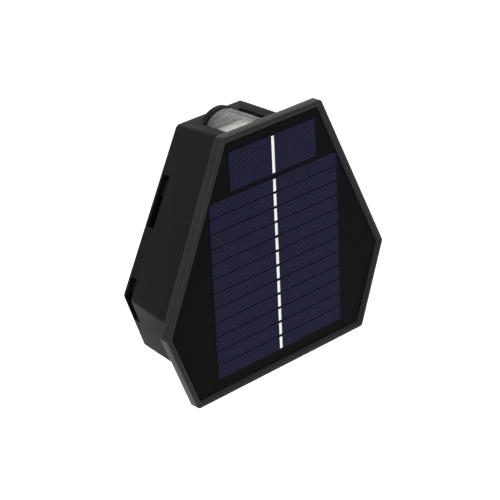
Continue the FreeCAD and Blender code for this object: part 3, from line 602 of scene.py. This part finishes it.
# --- what a user may change ----------------------------------------------------------------------------
class LampShape(bpy.types.PropertyGroup):
    """Edges, silver lines and lenses"""
    edge_radius: FloatProperty(
        name="Moulded edge", description="Rounding of the housing's and bracket's edges, in millimetres",
        default=0.2, min=0.05, max=0.4,
    )
    lip_radius: FloatProperty(
        name="Tray edge", description="Rounding of the tray's outer edges, in millimetres",
        default=0.5, min=0.2, max=0.9,
    )
    finger_pitch: FloatProperty(
        name="Finger pitch", description="Distance between the fine silver lines on a cell, in millimetres",
        default=0.86, min=0.5, max=2.0,
    )
    finger_width: FloatProperty(
        name="Finger width", description="Width of the fine silver lines, in millimetres",
        default=0.10, min=0.03, max=0.3,
    )
    lens_steps: IntProperty(
        name="Lens steps", description="Points round a lens", default=128, min=32, max=256,
    )


class StudioLight(bpy.types.PropertyGroup):
    """Floor and lamps"""
    floor_drop: FloatProperty(
        name="Floor", description="The floor's depth below the origin", default=0.35, min=0.06,
        subtype="DISTANCE", unit="LENGTH",
    )
    floor_colour: FloatVectorProperty(
        name="Floor colour", description="Colour of the floor", default=(0.8, 0.8, 0.8),
        subtype="COLOR", size=3, min=0, max=1,
    )
    ambient: FloatProperty(
        name="Ambient", description="Strength of the room's light", default=0.35, min=0, max=2,
    )
    key: FloatProperty(
        name="Key", description="Strength of the lamps", default=1.15, min=0, max=10,
    )


# --- one operator for each piece or group of pieces ----------------------------------------------------
class FENCELIGHT_OT_tray(bpy.types.Operator):
    """The front tray: a lip with rounded edges, a sloped inner edge, and a rib and four bosses behind"""
    bl_idname = "fencelight.tray"
    bl_label = "Front tray"

    def execute(self, context):
        r = context.scene.lamp_shape.lip_radius
        inner, outer = RIB_CLEARANCE + RIB_THICKNESS, RIB_CLEARANCE
        rib_back = BEZEL_DEPTH + RIB_HEIGHT
        rings = [
            cavity_ring(inner, BEZEL_DEPTH),
            cavity_ring(inner, BEZEL_DEPTH, rib_back - RIB_CHAMFER),
            cavity_ring(inner - RIB_CHAMFER, BEZEL_DEPTH, rib_back),
            cavity_ring(outer + RIB_CHAMFER, BEZEL_DEPTH, rib_back),
            cavity_ring(outer, BEZEL_DEPTH, rib_back - RIB_CHAMFER),
            cavity_ring(outer, BEZEL_DEPTH),
        ]
        rings += [tray_ring(r * out, BEZEL_DEPTH - r * along) for along, out in QUARTER]
        rings += [tray_ring(r * out, r * along) for out, along in QUARTER]
        rings += [tray_ring(LIP_WIDTH - LIP_BEVEL + inset, d) for inset, d in LIP_RIDGE]
        rings += [
            tray_ring(LIP_WIDTH - LIP_FOOT, PANEL_RECESS - LIP_FOOT),
            tray_ring(LIP_WIDTH, PANEL_RECESS + LIP_FOOT),
            tray_ring(LIP_WIDTH, TRAY_FLOOR),
        ]
        tray = loft("front_tray", rings)
        bosses = [
            pin("boss", x, h, BEZEL_DEPTH - 0.4, COLUMN_FRONT - 0.2, TRAY_BOSS_RADIUS)
            for x, h in SCREW_PLACES
        ]
        combine(tray, bosses, "UNION")
        bores = [
            pin("bore", x, h, BEZEL_DEPTH - 0.2, COLUMN_FRONT + 1, TRAY_BORE_RADIUS, 32)
            for x, h in SCREW_PLACES
        ]
        combine(tray, bores, "DIFFERENCE")
        smooth(tray)
        dress(tray, "lamp", "bezel_plastic", "front_bezel")
        return {"FINISHED"}


class FENCELIGHT_OT_housing(bpy.types.Operator):
    """The housing behind the tray: slanted sides, four slots, two lens openings with arched ends"""
    bl_idname = "fencelight.housing"
    bl_label = "Housing"

    def execute(self, context):
        r = BACK_EDGE_RADIUS
        seal_back = BEZEL_DEPTH + SEAL_DEPTH
        rings = [
            cavity_ring(0, REAR_WALL_FRONT), cavity_ring(0, seal_back), body_ring(RIM_LIP, seal_back),
            body_ring(RIM_LIP, BEZEL_DEPTH), body_ring(0, BEZEL_DEPTH),
        ]
        rings += [body_ring(r * out, LAMP_DEPTH - r * along) for out, along in QUARTER]
        rings += [
            body_ring(SKIRT - SKIRT_CHAMFER, LAMP_DEPTH), body_ring(SKIRT, LAMP_DEPTH - SKIRT_CHAMFER),
            body_ring(SKIRT, REAR_WALL_BACK),
        ]
        shell = loft("housing_shell", rings)
        combine(shell, self.arches(), "UNION")
        combine(shell, self.posts(), "UNION")
        x, front, back = OPENING_HALF, OPENING_FRONT, OPENING_BACK
        openings = [
            block("opening", -x, x, front, back, plane - up, plane + up * 20) for plane, up in LENS_SIDES
        ]
        combine(shell, openings, "DIFFERENCE")
        inner, outer = -SKIRT - SLOT_PAST, SLOT_OVER
        corner, bend = (hexagon(BODY_CORNERS, (0, offset, offset, 0))[1] for offset in (outer, inner))
        upper = beside(SLOT_START, SLOT_END, outer, inner)
        start = beside(CORNER_SLOT_START, CORNER_SLOT_START + 1, outer, inner)
        tail = beside(0, CORNER_SLOT_TAIL, outer, inner, lower=True)
        corner_slot = [start[0], corner, tail[1], tail[2], bend, start[3]]
        deep_tail = [BODY_CORNERS[1], corner, tail[1], tail[2], bend]
        for back, outlines in ((SLOT_BACK, (upper, corner_slot)), (TAIL_BACK, (deep_tail,))):
            slots = [prism("slot", s, SLOT_FRONT, back) for o in outlines for s in (o, mirrored(o))]
            combine(shell, slots, "DIFFERENCE")
        counterbores = [
            pin("hole", x, h, HEAD_SEAT, REAR_WALL_BACK + 1, COUNTERBORE_RADIUS) for x, h in SCREW_PLACES
        ]
        combine(shell, counterbores, "DIFFERENCE")
        combine(shell, self.bores(), "DIFFERENCE")
        soften(shell, context.scene.lamp_shape.edge_radius)
        smooth(shell)
        dress(shell, "lamp", "black_plastic", "housing")
        return {"FINISHED"}

    def arches(self):
        """The half-round walls before and behind each lens."""
        behind = (OPENING_BACK, OPENING_BACK + ARCH_THICKNESS)
        before = (OPENING_FRONT - FRONT_ARCH_THICKNESS, OPENING_FRONT)
        arches = []
        for plane, up in LENS_SIDES:
            for d0, d1 in (behind, before):
                arches.append(pin("arch", 0, plane - up * LENS_AXIS_DROP, d0, d1, OPENING_HALF, 96))
                above(plane + up * ARCH_FOOT, up)
        return arches

    def posts(self):
        """The columns for the tray's screws and the bosses for the boards and the battery holder."""
        into = REAR_WALL_FRONT + OVERLAP
        posts = [pin("post", x, h, COLUMN_FRONT, into, COLUMN_RADIUS) for x, h in SCREW_PLACES]
        posts += [pin("post", x, h, BOSS_FRONT, into, BOSS_RADIUS, 32) for x, h in BOSSES]
        posts += [pin("post", x, h, HOLDER_BACK, into, BOSS_RADIUS, 32) for x, h in HOLDER_BOSSES]
        return posts

    def bores(self):
        """The holes for the tray's and the boards' screws and for the mode button."""
        bores = [
            pin("hole", x, h, COLUMN_FRONT - 1, HEAD_SEAT + 1, SCREW_HOLE_RADIUS, 32) for x, h in SCREW_PLACES
        ]
        for front, places in ((BOSS_FRONT, BOSSES), (HOLDER_BACK, HOLDER_BOSSES)):
            bores += [pin("hole", x, h, front - 1, front + BORE_DEPTH, BORE_RADIUS, 24) for x, h in places]
        radius, heights = BUTTON_RADIUS + BUTTON_CLEARANCE, (INNER_BOTTOM - 6, INNER_BOTTOM + 1)
        bores.append(loft("hole", [circle(BUTTON_X, BUTTON_DEPTH, h, radius, True) for h in heights]))
        return bores


class FENCELIGHT_OT_panel(bpy.types.Operator):
    """The fine silver fingers on the cells and the tinned ribbon down their middle"""
    bl_idname = "fencelight.panel"
    bl_label = "Solar panel"

    def execute(self, context):
        shape = context.scene.lamp_shape
        rows = [TOP_CELL]
        for i in range(CELL_COUNT):
            top = CELL_TOP - i * CELL_PITCH - CELL_GAP / 2
            rows.append((CELL_HALF, top - CELL_PITCH + CELL_GAP, top))
        (top_x, top_h), (widest_x, widest_h) = hexagon(BEZEL_CORNERS, [-CELL_FIELD_INSET] * 4)[:2]
        slope = (widest_x - top_x) / (widest_h - top_h)
        inset, w = (RIBBON_GAP - CELL_GAP) / 2, shape.finger_width / 2
        fingers, ribbons = [], []
        for half, low, high in rows:
            front = PANEL_RECESS - RIBBON_THICKNESS
            ribbon = block(
                "ribbon", -RIBBON_HALF, RIBBON_HALF, front, PANEL_RECESS, low + inset, high - inset
            )
            ribbons.append(soften(ribbon, RIBBON_EDGE_RADIUS))
            count = round((high - low) / shape.finger_pitch)
            pitch = (high - low) / count
            front = PANEL_RECESS - FINGER_THICKNESS
            for k in range(count):
                h = low + (k + 0.5) * pitch
                reach = min(half, top_x + (h - top_h) * slope) - FINGER_MARGIN
                fingers.append(block("finger", -reach, reach, front, PANEL_RECESS, h - w, h + w))
        lines = dress(smooth(joined("cell_fingers", fingers)), "lamp", "tinned_ribbon")
        lines.data.materials[0] = finish("finger_silver")  # duller than the ribbon whose slot they share
        dress(smooth(joined("cell_ribbons", ribbons)), "lamp", "tinned_ribbon", "busbar_ribbons")
        return {"FINISHED"}


class FENCELIGHT_OT_lenses(bpy.types.Operator):
    """The two clear half-round lenses, each hollow and with a flange inside the housing"""
    bl_idname = "fencelight.lenses"
    bl_label = "Lenses"

    def execute(self, context):
        steps = context.scene.lamp_shape.lens_steps
        radius, r = OPENING_HALF - LENS_CLEARANCE, LENS_EDGE_RADIUS
        axis, half = INNER_TOP - LENS_AXIS_DROP, OPENING_HALF + FLANGE_OVERLAP
        front, back = OPENING_FRONT + LENS_CLEARANCE, OPENING_BACK - LENS_CLEARANCE
        seat = INNER_TOP - GASKET_THICKNESS
        inner_face = seat - FLANGE_THICKNESS
        profile = [
            (front, radius - r), (front + HALFWAY * r, radius - HALFWAY * r), (front + r, radius),
            (back - r, radius), (back - HALFWAY * r, radius - HALFWAY * r), (back, radius - r),
        ]
        lens = loft("top_lens_clear", [circle(0, d, axis, size, count=steps) for d, size in profile])
        above(inner_face, 1)
        flange = block(
            "flange", -half, half, OPENING_FRONT - FLANGE_OVERLAP, REAR_WALL_FRONT - FLANGE_CLEARANCE,
            inner_face, seat,
        )
        combine(lens, [flange], "UNION")
        hollow = pin("hollow", 0, axis, front + LENS_WALL, back - LENS_WALL, radius - LENS_WALL, steps)
        combine(lens, [hollow], "DIFFERENCE")
        smooth(lens)
        alone(lens)
        bpy.ops.object.duplicate()
        lower = context.object
        lower.name = lower.data.name = "bottom_lens_clear"
        bpy.ops.object.mode_set(mode="EDIT")
        bpy.ops.mesh.select_all(action="SELECT")
        middle = point(0, 0, (INNER_TOP + INNER_BOTTOM) / 2)
        bpy.ops.transform.resize(value=(1, 1, -1), center_override=middle)
        bpy.ops.mesh.flip_normals()
        bpy.ops.object.mode_set(mode="OBJECT")
        dress(lens, "lamp", "clear_plastic", "top_lens")
        dress(smooth(lower), "lamp", "clear_plastic", "bottom_lens")
        return {"FINISHED"}


class FENCELIGHT_OT_small_parts(bpy.types.Operator):
    """The mode button and the four screws that hold the tray"""
    bl_idname = "fencelight.small_parts"
    bl_label = "Button and screws"

    def execute(self, context):
        foot, end = ((corner.z - WIDEST_Z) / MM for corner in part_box("mode_button"))
        flange = INNER_BOTTOM + BUTTON_CLEARANCE
        flange_end = flange + BUTTON_FLANGE_THICKNESS
        rim, edge = BUTTON_FLANGE_RADIUS, BUTTON_FLANGE_EDGE
        profile = [(r, foot + up) for r, up in BUTTON_FACE]
        profile += [
            (BUTTON_RADIUS, flange), (rim - edge, flange), (rim, flange + edge), (rim, flange_end - edge),
            (rim - edge, flange_end), (BUTTON_STEM_RADIUS, flange_end), (BUTTON_STEM_RADIUS, end),
        ]
        rings = [circle(BUTTON_X, BUTTON_DEPTH, h, r, True, 72) for r, h in profile]
        button = loft("mode_button_cap", rings)
        dress(smooth(button), "button", "button_rubber", "mode_button")
        thread = [(r, d + k * THREAD_PITCH) for k in range(THREAD_TURNS) for r, d in SCREW_THREAD]
        profile = [(r, HEAD_SEAT + d) for r, d in (*SCREW_POINT, *thread, *SCREW_HEAD)]
        head = HEAD_SEAT + HEAD_HEIGHT
        for letter, (x, h) in zip("abcd", SCREW_PLACES):
            screw = loft("tray_screw_" + letter, [circle(x, d, h, r, count=32) for r, d in profile])
            for wide, tall in ((CROSS_REACH, CROSS_HALF_WIDTH), (CROSS_HALF_WIDTH, CROSS_REACH)):
                cross = block("cross", x - wide, x + wide, head - CROSS_DEPTH, head + 1, h - tall, h + tall)
                combine(screw, [cross], "DIFFERENCE")
            dress(smooth(screw), "lamp", "screw_steel", "housing_screws")
        return {"FINISHED"}


class FENCELIGHT_OT_bracket(bpy.types.Operator):
    """The wall bracket, with softened edges"""
    bl_idname = "fencelight.bracket"
    bl_label = "Wall bracket"

    def execute(self, context):
        alone(NODES["wall_bracket"])
        bpy.ops.object.duplicate()
        bracket = context.object
        bracket.name = bracket.data.name = "wall_plate"
        for key in list(bracket.keys()):
            if key.startswith("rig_"):
                del bracket[key]
        bracket.parent = None
        bpy.ops.object.mode_set(mode="EDIT")
        bpy.ops.mesh.select_all(action="SELECT")
        bpy.ops.mesh.remove_doubles(threshold=1e-6)
        bpy.ops.mesh.dissolve_limited(angle_limit=0.02)
        bpy.ops.object.mode_set(mode="OBJECT")
        soften(bracket, context.scene.lamp_shape.edge_radius)
        smooth(bracket, 20)
        # its finish is painted darker, as the shade seen through the housing's slots
        dress(bracket, "bracket", "bracket_plastic", "wall_bracket")
        return {"FINISHED"}


class FENCELIGHT_OT_carried_parts(bpy.types.Operator):
    """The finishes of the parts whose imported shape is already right"""
    bl_idname = "fencelight.carried_parts"
    bl_label = "Inner parts"

    def execute(self, context):
        for part in frame["record"]["subparts"]:
            made = NODES[part["node"]]
            made.data.materials.clear()
            made.data.materials.append(finish(part["material_slot"]))
        return {"FINISHED"}


class FENCELIGHT_OT_stage(bpy.types.Operator):
    """A pale floor, soft light and the camera"""
    bl_idname = "fencelight.stage"
    bl_label = "Stage"

    def execute(self, context):
        light = context.scene.studio_light
        alone()
        bpy.ops.mesh.primitive_plane_add(size=FLOOR_WIDTH, location=(0, 0, -light.floor_drop))
        floor = context.object
        floor.name = "floor"
        floor.data.materials.append(self.floor_finish(light))
        self.room(context, light)
        for name, place, width, power in SOFTBOXES:
            bpy.ops.object.light_add(type="AREA", location=place)
            lamp = context.object
            lamp.name = name
            lamp.data.shape, lamp.data.size, lamp.data.energy = "DISK", width, light.key * power
            lamp.rotation_euler = (-Vector(place)).to_track_quat("-Z", "Y").to_euler()
        self.camera(context)
        context.scene.view_settings.view_transform = "Standard"
        return {"FINISHED"}

    def seen(self, tree):
        """1 for what the camera, a reflection or glass shows."""
        path = node(tree, "LightPath")
        seen = path.outputs["Is Camera Ray"]
        for kind in ("Is Glossy Ray", "Is Transmission Ray"):
            seen = node(tree, "Math", [(0, seen), (1, path.outputs[kind])], operation="MAXIMUM").outputs[0]
        return seen

    def floor_finish(self, light):
        """Pale, with a glow that only the camera, a reflection or glass shows, and clear from below."""
        made, tree, shader = start_material("floor")
        shader.inputs["Base Color"].default_value = (*light.floor_colour, 1)
        shader.inputs["Roughness"].default_value = 0.9
        shader.inputs["Specular IOR Level"].default_value = 0.0
        shader.inputs["Emission Color"].default_value = (1, 1, 1, 1)
        glow = node(tree, "Math", [(0, self.seen(tree)), (1, FLOOR_GLOW)], operation="MULTIPLY")
        tree.links.new(glow.outputs[0], shader.inputs["Emission Strength"])
        under = node(tree, "NewGeometry").outputs["Backfacing"]
        clear = tree.nodes.new("ShaderNodeBsdfTransparent")
        mix = node(tree, "MixShader", [(0, under), (1, shader.outputs[0]), (2, clear.outputs[0])])
        output = next(n for n in tree.nodes if n.type == "OUTPUT_MATERIAL")
        tree.links.new(mix.outputs[0], output.inputs[0])
        return made

    def room(self, context, light):
        """A white room that lights the object less than it shows."""
        world = bpy.data.worlds.new("room")
        context.scene.world = world
        world.use_nodes = True
        tree = world.node_tree
        back = tree.nodes["Background"]
        seen = self.seen(tree)
        span = node(tree, "MapRange", [("Value", seen), ("To Min", light.ambient), ("To Max", 1.0)])
        tree.links.new(span.outputs["Result"], back.inputs["Strength"])
        back.inputs["Color"].default_value = (1, 1, 1, 1)

    def camera(self, context):
        """The camera, in front of the lamp, to its left and above."""
        bpy.ops.object.camera_add()
        camera = context.object
        turned = Matrix((CAMERA_RIGHT, -CAMERA_DOWN, -CAMERA_AHEAD)).transposed().to_4x4()
        camera.matrix_world = Matrix.Translation(CAMERA_PLACE) @ turned
        camera.data.sensor_width, camera.data.lens = SENSOR_WIDTH, FOCAL_LENGTH
        camera.data.clip_start, camera.data.clip_end = 0.01, 50
        context.scene.camera = camera


class FENCELIGHT_PT_panel(bpy.types.Panel):
    """Lists the sizes, the lights and the pieces"""
    bl_idname = "FENCELIGHT_PT_panel"
    bl_label = "Fence light"
    bl_space_type = "VIEW_3D"
    bl_region_type = "UI"
    bl_category = "Fence light"

    def draw(self, context):
        for group in (context.scene.lamp_shape, context.scene.studio_light):
            for key in group.bl_rna.properties.keys():
                if key not in ("rna_type", "name"):
                    self.layout.prop(group, key)
        for operator in OPERATORS:
            self.layout.operator(operator.bl_idname)


OPERATORS = (
    FENCELIGHT_OT_stage, FENCELIGHT_OT_carried_parts, FENCELIGHT_OT_tray, FENCELIGHT_OT_housing,
    FENCELIGHT_OT_panel, FENCELIGHT_OT_lenses, FENCELIGHT_OT_small_parts, FENCELIGHT_OT_bracket,
)
CLASSES = (LampShape, StudioLight, *OPERATORS, FENCELIGHT_PT_panel)


def register():
    for made in CLASSES:
        bpy.utils.register_class(made)
    bpy.types.Scene.lamp_shape = PointerProperty(type=LampShape)
    bpy.types.Scene.studio_light = PointerProperty(type=StudioLight)


def unregister():
    del bpy.types.Scene.lamp_shape
    del bpy.types.Scene.studio_light
    for made in reversed(CLASSES):
        bpy.utils.unregister_class(made)


def main():
    """Makes every piece and the stage."""
    register()
    for operator in OPERATORS:
        family, action = operator.bl_idname.split(".")
        getattr(getattr(bpy.ops, family), action)()


if __name__ == "__main__":
    main()
